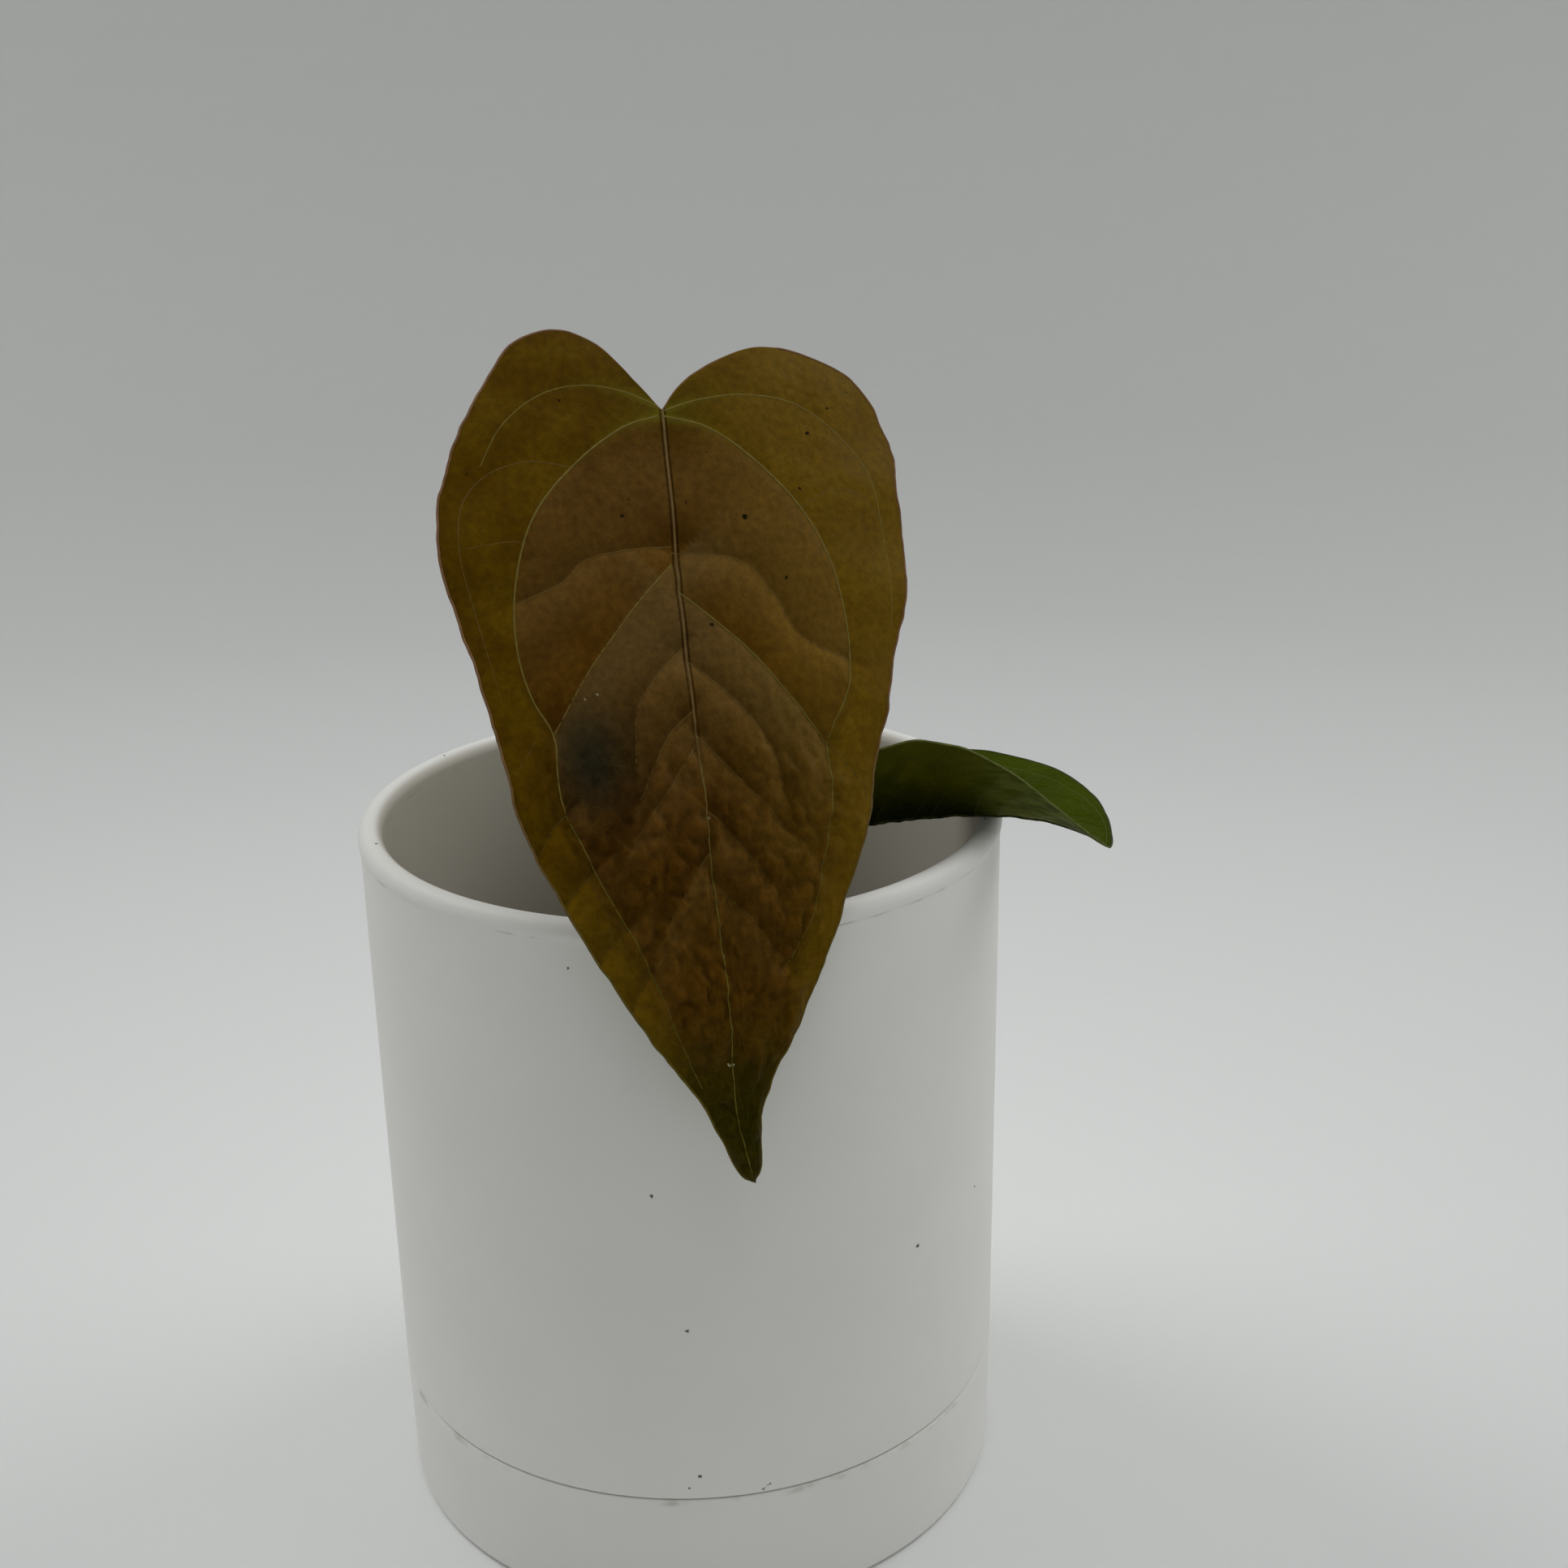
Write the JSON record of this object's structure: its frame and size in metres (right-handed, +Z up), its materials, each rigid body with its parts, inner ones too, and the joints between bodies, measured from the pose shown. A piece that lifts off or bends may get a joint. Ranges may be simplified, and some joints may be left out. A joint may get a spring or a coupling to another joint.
{
  "type": "potted anthurium",
  "caption": "Young anthurium with a large bronze new leaf and a smaller green leaf, in a straight white pot that stands flush in its saucer.",
  "frame": {"origin": "centre of the saucer's flat underside, on the surface the pot stands on", "axes": "+Z up through the pot's axis; -Y is the front, where the new leaf's face and tip are; +X is the side the old leaf leans to"},
  "size_m": [0.1429, 0.1401, 0.2395],
  "materials": {
    "glaze": "matte white glaze",
    "mix": "loose moist peat and bark fines",
    "bark": "rough bark",
    "perlite": "chalky expanded perlite",
    "crown": "ringed woody stem",
    "root": "corky root skin",
    "sheath": "dry papery sheath",
    "petiole_new": "smooth reddish bronze petiole",
    "petiole_old": "smooth green petiole",
    "leaf_new": "soft satin bronze leaf",
    "leaf_old": "satin green leaf"
  },
  "bodies": {
    "root": {"saucer": "glaze", "pot": "glaze", "bark_chip_01": "bark", "bark_chip_02": "bark", "bark_chip_03": "bark", "bark_chip_04": "bark", "bark_chip_05": "bark", "bark_chip_06": "bark", "bark_chip_07": "bark", "bark_chip_08": "bark", "bark_chip_09": "bark", "bark_chip_10": "bark", "bark_chip_11": "bark", "bark_chip_12": "bark", "perlite_grain_01": "perlite", "perlite_grain_02": "perlite", "perlite_grain_03": "perlite", "perlite_grain_04": "perlite", "perlite_grain_05": "perlite", "perlite_grain_06": "perlite", "perlite_grain_07": "perlite", "perlite_grain_08": "perlite", "potting_mix": "mix", "crown_stem": "crown", "root_1": "root", "root_2": "root", "root_3": "root", "root_4": "root", "root_5": "root", "petiole_new": "petiole_new", "petiole_old": "petiole_old", "leaf_new": "leaf_new", "leaf_old": "leaf_old", "sheath_new": "sheath", "sheath_dry": "sheath"}
  },
  "joints": []
}
